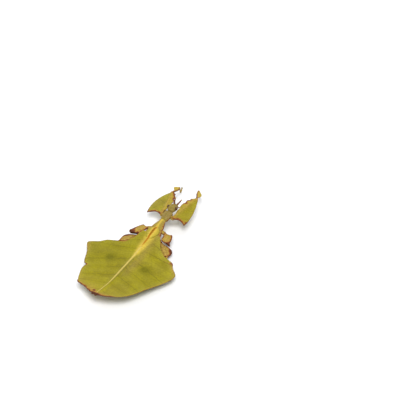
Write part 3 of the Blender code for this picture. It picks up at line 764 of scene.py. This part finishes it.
def tube(path, radii, sides, stations, vertex_marks, flatten=1.0):
    """Closed round limb through points, with a radius at each share of its length.

    Where it would dip below the floor it is flat.
    """
    knots = [(index / (len(path) - 1), point) for index, point in enumerate(path)]

    def along(run):
        """Point of the path at a share of its length."""
        return Vector([
            follow([(share, point[axis]) for share, point in knots], run) for axis in range(3)
        ])

    mesh = bmesh.new()
    bmesh.ops.create_grid(mesh, x_segments=sides, y_segments=stations, size=1.0)
    for vertex in mesh.verts:
        run, turn = (vertex.co.y + 1) / 2, vertex.co.x * math.pi
        ahead = (along(min(run + 0.01, 1.0)) - along(max(run - 0.01, 0.0))).normalized()
        across = ahead.cross(Vector((0, 0, 1)))
        across = across.normalized() if across.length > 0.05 else Vector((1, 0, 0))
        upper = across.cross(ahead)
        radius = max(follow(radii, run), 0.0) * MM
        vertex.co = along(run) + across * math.cos(turn) * radius
        vertex.co += upper * math.sin(turn) * radius * flatten
        vertex.co.z = max(vertex.co.z, 0.0)
    bmesh.ops.remove_doubles(mesh, verts=mesh.verts[:], dist=SAME_POINT)
    bmesh.ops.holes_fill(mesh, edges=[edge for edge in mesh.edges if edge.is_boundary], sides=0)
    bmesh.ops.recalc_face_normals(mesh, faces=mesh.faces[:])
    if mesh.calc_volume(signed=True) < 0:
        bmesh.ops.reverse_faces(mesh, faces=mesh.faces[:])
    coat_with(mesh, vertex_marks)
    return mesh


claw_roots = []
for (pair, side_name), places in LEG_PLACES.items():
    hand = SIDES[side_name] if pair == "fore" else -SIDES[side_name]
    body, hip, knee, shin, ankle, ball = [
        spot(*places[key]) for key in ("body", "hip", "knee", "shin", "ankle", "ball")
    ]
    toe = spot(*places["toe"], FOOT_RADIUS)

    thigh_shape = THIGHS.get((pair, side_name)) or THIGHS[pair]
    flesh.append(leg_leaf(hip, knee, thigh_shape, THIGH_LOOKS[pair], hand, places["lean"],
                          THIGH_GRID, EDGE_STAINS[pair]))
    toward_knee = (knee - hip).normalized()
    flesh.append(tube(
        [body, body.lerp(hip, 0.6), hip - toward_knee * 1.0 * MM, hip + toward_knee * 0.3 * MM],
        HIP_PROFILE, 18, 22, lambda place: {"tan": 0.85, "burn": 0.0}, HIP_FLATNESS,
    ))

    shin_start = shin + (ankle - shin).normalized() * KNUCKLE * MM
    flesh.append(leg_leaf(shin_start, ankle, SHINS[pair], SHIN_LOOKS[pair], hand, places["twist"],
                          SHIN_GRID))
    toward_ankle = (ankle - shin_start).normalized()
    folded = {"tan": 1.0, "burn": 4.0 if pair == "mid" else 0.0, "margin": 1.5}
    flesh.append(tube(
        [knee - toward_knee * 0.5 * MM, knee, shin_start - toward_ankle * 0.9 * MM, shin_start],
        KNEE_PROFILE, 14, 14, lambda place, given=folded: given,
    ))

    heel, sole = ball.lerp(toe, 0.12), ball.lerp(toe, 0.55)
    heel.z = sole.z = FOOT_RADIUS * MM
    in_shin = ankle - (ball - ankle).normalized() * 0.1 * MM
    flesh.append(tube(
        [in_shin, ankle.lerp(ball, 0.6), ball.lerp(heel, 0.5), sole, toe],
        FOOT_PROFILE, 14, 56, lambda place, tip=toe: {
            "tan": 0.9, "burn": 0.0, "dusk": 0.5 * hump((place - tip).length / MM, 1.0),
        },
    ))
    claw_roots.append((toe, (toe - sole).normalized()))


# Skin. The rings, the head and the legs are one continuous shell in the living insect, with
# soft hinges, so their shapes are fused into one closed skin.
NODES_OF_FLESH = ["abdomen", "metathorax", "mesothorax", "prothorax", "head"] + [
    f"{part}_{pair}_{side_name}"
    for part in ("femur", "tibia", "tarsus") for pair, side_name in LEG_PLACES
]
OLIVE = (0.214, 0.178, 0.003, 1)
LIGHT_OLIVE = (0.276, 0.238, 0.005, 1)
PALE_MARGIN = (0.320, 0.275, 0.026, 1)
VEIN_GREEN = (0.120, 0.100, 0.006, 1)
NET_PALE = (0.370, 0.310, 0.030, 1)
TAN = (0.320, 0.190, 0.036, 1)
LIGHT_TAN = (0.410, 0.280, 0.060, 1)
YELLOW = (0.560, 0.405, 0.052, 1)
ORANGE = (0.430, 0.165, 0.006, 1)
CREAM = (0.560, 0.430, 0.110, 1)
HORN = (0.255, 0.180, 0.058, 1)
DARK_HORN = (0.120, 0.075, 0.024, 1)
# Darker olive of eye-spots, patches and toe tips, also used for painted shade in creases, dents and
# grooves.
SPOT_AND_SHADE_OLIVE = (0.150, 0.132, 0.0005, 1)
# Grey of the hatching hairs, and of the painted shadow beside the spine.
HATCH_AND_SHADOW_GREY = (0.130, 0.115, 0.035, 1)
BURNT_HALO = (0.400, 0.180, 0.035, 1)
BURNT_RED = (0.190, 0.046, 0.013, 1)
BURNT_BLACK = (0.060, 0.017, 0.006, 1)
BURNT_BANDS = ((BURNT_HALO, 1.0, 2.0, 0.6), (BURNT_RED, 0.75, 1.1, 0.95), (BURNT_BLACK, 0.1, 0.45, 0.8))
CLOUDS_PER_METRE = 150.0
SPECKS_PER_METRE = 1700.0
NET_CELLS_PER_METRE = 1050.0
PEBBLES_PER_METRE = 2600.0
VEIN_BENDS_PER_METRE = 420.0
VEIN_BEND = 0.35
VEINS_TO_MAIN = 1.5
HAIRS_TO_VEIN = 3.0
BARE_PATCHES_PER_METRE = 500.0
RAGS_PER_METRE = 900.0
# Offset of the painted shadow's line to the right of the spine.
SPINE_SHADOW_OFFSET = 0.38
SHELL_SHINE = 0.12
RELIEF_DEPTH = 0.06 * MM
SHARP_ANGLE = math.radians(48)


def mark(tree, name):
    """One of the marks stored on the vertices."""
    return shader_node(tree, "ShaderNodeAttribute", attribute_name=name).outputs["Fac"]


def reckon(tree, operation, first, second=0.0):
    """Arithmetic on two values."""
    made = shader_node(tree, "ShaderNodeMath", operation=operation)
    feed(tree, made.inputs[0], first)
    feed(tree, made.inputs[1], second)
    return made.outputs[0]


def times(tree, first, second):
    """Product of two values."""
    return reckon(tree, "MULTIPLY", first, second)


def cells(tree, scale, **settings):
    """Distance within a pattern of cells fixed to the piece; scale is in cells to the metre."""
    place = shader_node(tree, "ShaderNodeTexCoord")
    made = shader_node(tree, "ShaderNodeTexVoronoi", **settings)
    feed(tree, made.inputs["Vector"], place.outputs["Object"])
    feed(tree, made.inputs["Scale"], scale)
    return made.outputs["Distance"]


def with_ridge(tree, colour, gold, bent_vein):
    """Colour with short hatching by the back's ridge, a grey painted shadow right of the spine, and a cream
    spine.
    """
    hatch = mark(tree, "hatch")
    patchy = step_between(tree, grain(tree, BARE_PATCHES_PER_METRE), 0.38, 0.55)
    hairs = reckon(tree, "FRACT", times(tree, bent_vein, HAIRS_TO_VEIN))
    hairs = times(tree, times(tree, step_between(tree, hairs, 0.3, 0.0), hatch), patchy)
    colour = tint(tree, hairs, colour, HATCH_AND_SHADOW_GREY)

    # Painted shadow: a broken grey line just right of the spine, where shade falls beside the keel; it
    # fades where the back is gold.
    middle = mark(tree, "middle")
    from_spine_shadow = reckon(tree, "ABSOLUTE", reckon(tree, "ADD", middle, SPINE_SHADOW_OFFSET))
    spine_shadow = step_between(tree, from_spine_shadow, 0.04, 0.2, 0.5, 0.0)
    broken = step_between(tree, grain(tree, RAGS_PER_METRE, 2.0), 0.35, 0.6, 0.3, 1.0)
    spine_shadow = times(tree, times(tree, spine_shadow, broken), step_between(tree, gold, 0.9, 0.5))
    colour = tint(tree, spine_shadow, colour, HATCH_AND_SHADOW_GREY)
    spine = step_between(tree, reckon(tree, "ABSOLUTE", middle), 0.1, 0.27, 0.85, 0.0)
    not_orange = step_between(tree, gold, 0.9, 1.4, 1.0, 0.0)
    return tint(tree, times(tree, spine, not_orange), colour, CREAM)


def with_burnt_edge(tree, colour, margin):
    """Colour with a ragged burnt margin: a pale halo, then red-brown, then nearly black."""
    burn = mark(tree, "burn")
    ragged = times(tree, step_between(tree, grain(tree, RAGS_PER_METRE, 4.0), 0.3, 0.7), 0.9)
    reach = times(tree, burn, reckon(tree, "ADD", ragged, 0.45))
    depth = reckon(tree, "DIVIDE", margin, reckon(tree, "MAXIMUM", reach, 0.01))
    burnt = step_between(tree, burn, 0.02, 0.1)
    for shade, near, far, strength in BURNT_BANDS:
        cover = step_between(tree, depth, near, far, strength, 0.0)
        colour = tint(tree, times(tree, cover, burnt), colour, shade)
    return colour


def cuticle(name):
    """Living leaf-like shell: olive with veins, yellow and tan regions, and burnt edges."""
    made, tree, shader = new_finish(name)
    margin, leaf, horn, gold = [mark(tree, kind) for kind in ("margin", "leaf", "horn", "gold")]

    cloud = grain(tree, CLOUDS_PER_METRE, 4.0, 0.6)
    speckle = grain(tree, SPECKS_PER_METRE, 4.0)
    colour = tint(tree, step_between(tree, cloud, 0.35, 0.65), OLIVE, LIGHT_OLIVE)
    colour = tint(tree, step_between(tree, margin, 3.2, 0.2, 0.0, 0.5), colour, PALE_MARGIN)
    net = cells(tree, NET_CELLS_PER_METRE, feature="DISTANCE_TO_EDGE")
    net_line = times(tree, step_between(tree, net, 0.0, 0.1, 1.0, 0.0), leaf)
    colour = tint(tree, times(tree, net_line, 0.16), colour, NET_PALE)

    bend_of_vein = times(tree, grain(tree, VEIN_BENDS_PER_METRE, 2.0), VEIN_BEND)
    bent_vein = reckon(tree, "ADD", mark(tree, "vein"), bend_of_vein)
    to_vein = reckon(tree, "PINGPONG", bent_vein, 0.5)
    vein_line = times(tree, step_between(tree, to_vein, 0.0, 0.07, 1.0, 0.0), leaf)
    to_main_vein = reckon(tree, "PINGPONG", bent_vein, VEINS_TO_MAIN)
    main_vein = times(tree, step_between(tree, to_main_vein, 0.02, 0.1, 1.0, 0.0), leaf)
    pleat = times(tree, step_between(tree, to_main_vein, 0.3, 1.4, 0.0, 0.25), leaf)
    colour = tint(tree, pleat, colour, PALE_MARGIN)
    colour = tint(tree, times(tree, vein_line, 0.22), colour, VEIN_GREEN)
    colour = tint(tree, times(tree, main_vein, 0.65), colour, VEIN_GREEN)

    tan_colour = tint(tree, step_between(tree, speckle, 0.35, 0.7), TAN, LIGHT_TAN)
    colour = tint(tree, mark(tree, "tan"), colour, tan_colour)
    between = times(tree, step_between(tree, cells(tree, PEBBLES_PER_METRE), 0.3, 0.75), horn)
    colour = tint(tree, horn, colour, HORN)
    colour = tint(tree, times(tree, between, 0.45), colour, DARK_HORN)
    colour = tint(tree, step_between(tree, gold, 0.0, 1.0), colour, YELLOW)
    colour = tint(tree, step_between(tree, gold, 1.0, 1.9), colour, ORANGE)
    # Darker olive: eye-spots, patches and darker toe tips, and painted shade in the creases and dents of
    # the trunk and the grooves of the head.
    colour = tint(tree, mark(tree, "dusk"), colour, SPOT_AND_SHADE_OLIVE)
    colour = with_ridge(tree, colour, gold, bent_vein)
    colour = with_burnt_edge(tree, colour, margin)

    shading = shader_node(tree, "ShaderNodeHueSaturation")
    feed(tree, shading.inputs["Value"], step_between(tree, speckle, 0.25, 0.75, 0.86, 1.12))
    feed(tree, shading.inputs["Color"], colour)
    feed(tree, shader.inputs["Base Color"], shading.outputs["Color"])
    feed(tree, shader.inputs["Roughness"], step_between(tree, cloud, 0.3, 0.7, 0.46, 0.6))
    shader.inputs["Specular IOR Level"].default_value = SHELL_SHINE

    relief = times(tree, vein_line, 0.6)
    for layer, strength in ((net_line, -0.25), (speckle, 0.5), (between, -0.9)):
        relief = reckon(tree, "ADD", relief, times(tree, layer, strength))
    bump = shader_node(tree, "ShaderNodeBump")
    feed(tree, bump.inputs["Height"], relief)
    feed(tree, bump.inputs["Strength"], 0.6)
    feed(tree, bump.inputs["Distance"], RELIEF_DEPTH)
    feed(tree, shader.inputs["Normal"], bump.outputs["Normal"])
    return made


def finished_piece(name, mesh, material):
    """Object of a bmesh at the origin, smooth but for its sharp edges."""
    data = bpy.data.meshes.new(name)
    mesh.to_mesh(data)
    mesh.free()
    data.materials.append(material)
    data.shade_smooth()
    data.set_sharp_from_angle(angle=SHARP_ANGLE)
    made = bpy.data.objects.new(name, data)
    bpy.context.scene.collection.objects.link(made)
    return made


marked_places = []
for mesh in flesh:
    layers = [mesh.verts.layers.float[name] for name in MARKS]
    marked_places += [(vertex.co.copy(), [vertex[layer] for layer in layers]) for vertex in mesh.verts]
mark_finder = KDTree(len(marked_places))
for index, (place, values) in enumerate(marked_places):
    mark_finder.insert(place, index)
mark_finder.balance()

shell = cuticle("leaf_cuticle")
others = bpy.data.collections.new("fused_shapes")
bpy.context.scene.collection.children.link(others)
trunk = finished_piece("trunk", flesh[0], shell)
for number, mesh in enumerate(flesh[1:]):
    limb = finished_piece(f"limb_{number}", mesh, shell)
    bpy.context.scene.collection.objects.unlink(limb)
    others.objects.link(limb)
fuse = trunk.modifiers.new("fuse", "BOOLEAN")
fuse.operation = "UNION"
fuse.solver = "EXACT"
fuse.operand_type = "COLLECTION"
fuse.collection = others
fuse.use_self = False
bpy.context.view_layer.update()
fused = bpy.data.meshes.new_from_object(trunk.evaluated_get(bpy.context.evaluated_depsgraph_get()))
for item in [trunk] + list(others.objects):
    bpy.data.objects.remove(item, do_unlink=True)
bpy.data.collections.remove(others)

skin_mesh = bmesh.new()
skin_mesh.from_mesh(fused)
bpy.data.meshes.remove(fused)
bmesh.ops.remove_doubles(skin_mesh, verts=skin_mesh.verts[:], dist=2 * SAME_POINT)
bmesh.ops.dissolve_degenerate(skin_mesh, edges=skin_mesh.edges[:], dist=SAME_POINT)
skin_layers = skin_mesh.verts.layers.float
layers = [skin_layers.get(name) or skin_layers.new(name) for name in MARKS]
for vertex in skin_mesh.verts:
    values = marked_places[mark_finder.find(vertex.co)[1]][1]
    for layer, value in zip(layers, values):
        vertex[layer] = value
skin = finished_piece("skin", skin_mesh, shell)
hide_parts(*NODES_OF_FLESH)
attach(skin, "root")


# Wing pads. Two small flat leaves of yellow shell lie side by side over the hind rings.
# In the grown insect they would be wings; here they are stiff and end over the abdomen's root.
PAD_FRONT, PAD_BACK = 46.4, 40.4
PAD_INNER = 0.25
PAD_WIDTH = 2.3
PAD_LIFT = 0.5
PAD_OUTER_DROP = 0.4
PAD_FRONT_DROP = 0.6
PAD_BACK_DROP = 0.22
PAD_CORNER_CUT = 1.1
PAD_RIBS = 4.0
PAD_RIB_HEIGHT = 0.03
PAD_GOLD_REACH = {1: 0.45, -1: 0.75}


def wing_pad(side):
    """One pad, rounded off in front on its outer side, with ribs that run back."""

    def surface(u, v, face):
        """Point of the pad's upper or lower face."""
        forward = PAD_FRONT + (PAD_BACK - PAD_FRONT) * u
        width = PAD_WIDTH * (0.35 + 0.65 * math.sin(math.pi * min(0.25 + 0.7 * u, 1.0)))
        across = (v + 1) / 2
        left = PAD_INNER + width * across
        forward -= PAD_CORNER_CUT * (1 - u) ** 3 * across ** 2
        height = follow(BACK_LINE, forward) + PAD_LIFT - PAD_OUTER_DROP * fade((left - 0.4) / 2.2)
        rim = (1 - abs(v) ** 12) ** 0.5 * (1 - u ** 24) ** 0.5
        ribs = PAD_RIB_HEIGHT * hump((across * PAD_RIBS) % 1 - 0.5, 0.16)
        half = 0.06 + 0.11 * rim
        point = spot(forward, side * left, 0)
        height -= PAD_FRONT_DROP * (1 - fade(u / 0.22)) + PAD_BACK_DROP * fade((u - 0.75) / 0.25)
        point.z = (height + face * half + (ribs * rim if face > 0 else 0)) * MM
        return point

    def marks(u, v, face):
        """Marks of the pad: gold, and orange along the inner edge."""
        across = (v + 1) / 2
        gold = 0.25 + 0.7 * hump(across, PAD_GOLD_REACH[side]) + 0.9 * hump(across, 0.17)
        return {"leaf": 0.3, "vein": (v + 1) * 1.6, "middle": FAR_FROM_MIDDLE, "gold": gold}

    return leaf_sheet(40, 22, surface, marks, lambda u, v: abs(v) > 0.999 or u > 0.999)


for side_name, side in SIDES.items():
    pad = finished_piece("pad_" + side_name, wing_pad(side), shell)
    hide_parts("wing_pad_" + side_name)
    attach(pad, "root")


# Tail leaflets. Two small flat blades, the cerci, stand out under the last ring. They are
# brown and hairy in life, and hinged at the root.
LEAFLET_ROOT = 1.1
LEAFLET_LENGTH = 1.0
LEAFLET_HALF_WIDTH = 0.42
LEAFLET_APART = 0.6
LEAFLET_DROP = 0.25


def tail_leaflet(side):
    """One leaflet, widest in the middle and blunt at the end."""

    def surface(u, v, face):
        """Point of the leaflet's upper or lower face."""
        forward = LEAFLET_ROOT - LEAFLET_LENGTH * u
        swell = 0.5 + 0.5 * math.sin(math.pi * (0.12 + 0.78 * u))
        left = midline(forward) + side * (LEAFLET_APART + 0.2 * u) + LEAFLET_HALF_WIDTH * swell * v
        rim = (1 - abs(v) ** 4) ** 0.5 * (1 - u ** 10) ** 0.5
        point = spot(forward, left, 0)
        point.z = (follow(BACK_LINE, forward) - LEAFLET_DROP + face * (0.05 + 0.14 * rim)) * MM
        return point

    def marks(u, v, face):
        """Marks of the leaflet: tan shell, burnt all over."""
        return {"tan": 0.9, "burn": 3.0, "vein": 0.5, "middle": FAR_FROM_MIDDLE}

    return leaf_sheet(12, 8, surface, marks, lambda u, v: abs(v) > 0.999 or u > 0.999)


for side_name, side in SIDES.items():
    leaflet = finished_piece("tail_leaflet_" + side_name, tail_leaflet(side), shell)
    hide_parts("cercus_" + side_name)
    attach(leaflet, "root")


# Eyes. Each is a dark brown dome of fine facets, a little longer than high, that sits in a
# ring of the head's shell. A few paler bands run across it.
EYE_BROWN = (0.060, 0.024, 0.010, 1)
EYE_BAND = (0.150, 0.070, 0.028, 1)
EYE_STRETCH = (0.96, 1.0, 0.92)
EYE_ROUGHNESS = 0.28
EYE_SHINE = 0.18
BANDS_PER_METRE = 900.0
FACETS_PER_METRE = 9000.0
FACET_DEPTH = 0.02 * MM

eye_shell, eye_tree, eye_shader = new_finish("faceted_eye")
eye_place = shader_node(eye_tree, "ShaderNodeTexCoord")
bands = shader_node(eye_tree, "ShaderNodeTexWave", wave_type="BANDS", bands_direction="Z")
feed(eye_tree, bands.inputs["Vector"], eye_place.outputs["Object"])
feed(eye_tree, bands.inputs["Scale"], BANDS_PER_METRE)
feed(eye_tree, bands.inputs["Distortion"], 1.5)
paler = step_between(eye_tree, bands.outputs["Fac"], 0.55, 0.9, 0.0, 0.6)
feed(eye_tree, eye_shader.inputs["Base Color"], tint(eye_tree, paler, EYE_BROWN, EYE_BAND))
feed(eye_tree, eye_shader.inputs["Roughness"], EYE_ROUGHNESS)
eye_shader.inputs["Specular IOR Level"].default_value = EYE_SHINE
facet_bump = shader_node(eye_tree, "ShaderNodeBump", invert=True)
feed(eye_tree, facet_bump.inputs["Height"], cells(eye_tree, FACETS_PER_METRE))
feed(eye_tree, facet_bump.inputs["Distance"], FACET_DEPTH)
feed(eye_tree, eye_shader.inputs["Normal"], facet_bump.outputs["Normal"])

for side_name, side in SIDES.items():
    dome = bmesh.new()
    bmesh.ops.create_uvsphere(dome, u_segments=40, v_segments=28, radius=EYE_RADIUS * MM)
    bmesh.ops.scale(dome, vec=EYE_STRETCH, verts=dome.verts[:])
    eye_middle = spot(EYE_PLACE[0], side * EYE_PLACE[1], EYE_PLACE[2])
    bmesh.ops.translate(dome, vec=eye_middle, verts=dome.verts[:])
    eye = finished_piece("eye_dome_" + side_name, dome, eye_shell)
    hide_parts("eye_" + side_name)
    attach(eye, "root")


# Feelers. A female's are no longer than her head. They are chains of short beads of red-brown
# shell on narrow necks, the first one thick, the last one pale at its tip.
FEELER_TIPS = {"left": (64.2, 1.9, 8.3), "right": (64.1, -1.0, 8.3)}
BEADS = 9
BEAD_WIDTH = 0.33
BEAD_TAPER = 0.01
NECK_BETWEEN_BEADS = 0.08
FIRST_BEADS = ((0.0, 0.2), (0.04, 0.34), (0.2, 0.36), (0.24, 0.2))

for side_name, tip in FEELER_TIPS.items():
    side = SIDES[side_name]
    root = spot(FEELER_ROOT[0], side * FEELER_ROOT[1], FEELER_ROOT[2])
    root -= Vector((0, -0.35, 0.12)) * MM
    end = spot(*tip)
    bow = root.lerp(end, 0.5) + Vector((side * 0.12, 0, 0.12)) * MM
    profile = list(FIRST_BEADS)
    first_end = FIRST_BEADS[-1][0]
    stretch = (1 - first_end) / (BEADS - 2)
    for bead in range(2, BEADS):
        start = first_end + stretch * (bead - 2)
        width = BEAD_WIDTH - BEAD_TAPER * bead
        profile += [(start + stretch * 0.35, width), (start + stretch * 0.8, width),
                    (start + stretch * 0.97, width - NECK_BETWEEN_BEADS)]
    profile[-1] = (1.0, 0.05)
    feeler = finished_piece("feeler_" + side_name, tube(
        [root, bow, end], profile, 14, 90,
        lambda place, tip_place=end: {
            "tan": 0.9, "burn": 5.0 * fade((place - tip_place).length / MM - 0.3), "margin": 1.3,
        },
    ), shell)
    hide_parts("antenna_" + side_name)
    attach(feeler, "root")


# Mouthparts. They are of red-brown shell, hinged under the front of the head. A flap of an
# upper lip covers two short jaws, and two pairs of jointed palps hang beside them.
LIP_PLACE = (61.75, 0.0, 6.35)
LIP_HALF_SIZE = (0.42, 0.62, 0.5)
JAW_PLACE = (61.6, 0.42, 6.05)
JAW_HALF_SIZE = (0.5, 0.38, 0.4)
PALPS = (
    ((61.2, 0.72, 6.0), (62.1, 1.15, 5.75), (62.75, 0.95, 5.3), 0.17),
    ((60.8, 0.38, 5.95), (61.5, 0.55, 5.45), (62.0, 0.45, 5.15), 0.13),
)


def mouth_marks(place):
    """Marks of the mouthparts: tan in front, burnt behind."""
    return {"tan": 0.9, "burn": 4.0 * fade((62.4 - (TAIL_Y - place.y) / MM) / 0.8), "margin": 1.6}


def rounded(place, size):
    """Egg-shaped lump at a place, with half sizes along, across and up."""
    lump = bmesh.new()
    bmesh.ops.create_uvsphere(lump, u_segments=24, v_segments=16, radius=MM)
    bmesh.ops.scale(lump, vec=(size[1], size[0], size[2]), verts=lump.verts[:])
    bmesh.ops.translate(lump, vec=spot(*place), verts=lump.verts[:])
    coat_with(lump, mouth_marks)
    return lump


def joined(shapes):
    """One mesh that holds several, each whole."""
    whole = bmesh.new()
    for shape in shapes:
        holder = bpy.data.meshes.new("holder")
        shape.to_mesh(holder)
        shape.free()
        whole.from_mesh(holder)
        bpy.data.meshes.remove(holder)
    return whole


mouth_shapes = [rounded(LIP_PLACE, LIP_HALF_SIZE)]
for side in (1, -1):
    mouth_shapes.append(rounded((JAW_PLACE[0], side * JAW_PLACE[1], JAW_PLACE[2]), JAW_HALF_SIZE))
    for root, knee, tip, radius in PALPS:
        line = [spot(forward, side * left, height) for forward, left, height in (root, knee, tip)]
        beads = [(0.0, radius), (0.3, radius), (0.34, radius * 0.7), (0.4, radius), (0.64, radius * 1.05),
                 (0.68, radius * 0.7), (0.74, radius), (0.95, radius * 0.9), (1.0, 0.03)]
        mouth_shapes.append(tube(line, beads, 10, 36, mouth_marks))
mouthparts = finished_piece("mouthparts", joined(mouth_shapes), shell)
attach(mouthparts, "root")


# Claws. Each foot ends in two curved, pointed hooks of dark shell. They grow out of the last
# joint of the foot, and spread a little so that they grip on both sides.
CLAW_BROWN = (0.060, 0.026, 0.012, 1)
CLAW_TIP = (0.020, 0.010, 0.006, 1)
CLAW_CLOUDS_PER_METRE = 2500.0
CLAW_SHEENS_PER_METRE = 4000.0
CLAW_PROFILE = ((0.0, 0.13), (0.5, 0.1), (1.0, 0.015))
CLAW_HEIGHTS = (0.3, 0.34, 0.05)

claw_shell, claw_tree, claw_shader = new_finish("claw_shell")
darker = step_between(claw_tree, grain(claw_tree, CLAW_CLOUDS_PER_METRE), 0.3, 0.7)
feed(claw_tree, claw_shader.inputs["Base Color"], tint(claw_tree, darker, CLAW_BROWN, CLAW_TIP))
duller = step_between(claw_tree, grain(claw_tree, CLAW_SHEENS_PER_METRE), 0.3, 0.7, 0.2, 0.35)
feed(claw_tree, claw_shader.inputs["Roughness"], duller)

hooks = []
for toe, ahead in claw_roots:
    outward = ahead.cross(Vector((0, 0, 1))).normalized()
    for side in (1, -1):
        base = toe - ahead * 0.25 * MM + outward * side * 0.1 * MM
        crook = toe + (ahead * 0.12 + outward * side * 0.26) * MM
        point = toe + (ahead * 0.3 + outward * side * 0.34) * MM
        base.z, crook.z, point.z = [height * MM for height in CLAW_HEIGHTS]
        hooks.append(tube([base, crook, point], CLAW_PROFILE, 10, 14, lambda place: {}))
claw_piece = finished_piece("claws", joined(hooks), claw_shell)
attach(claw_piece, "root")
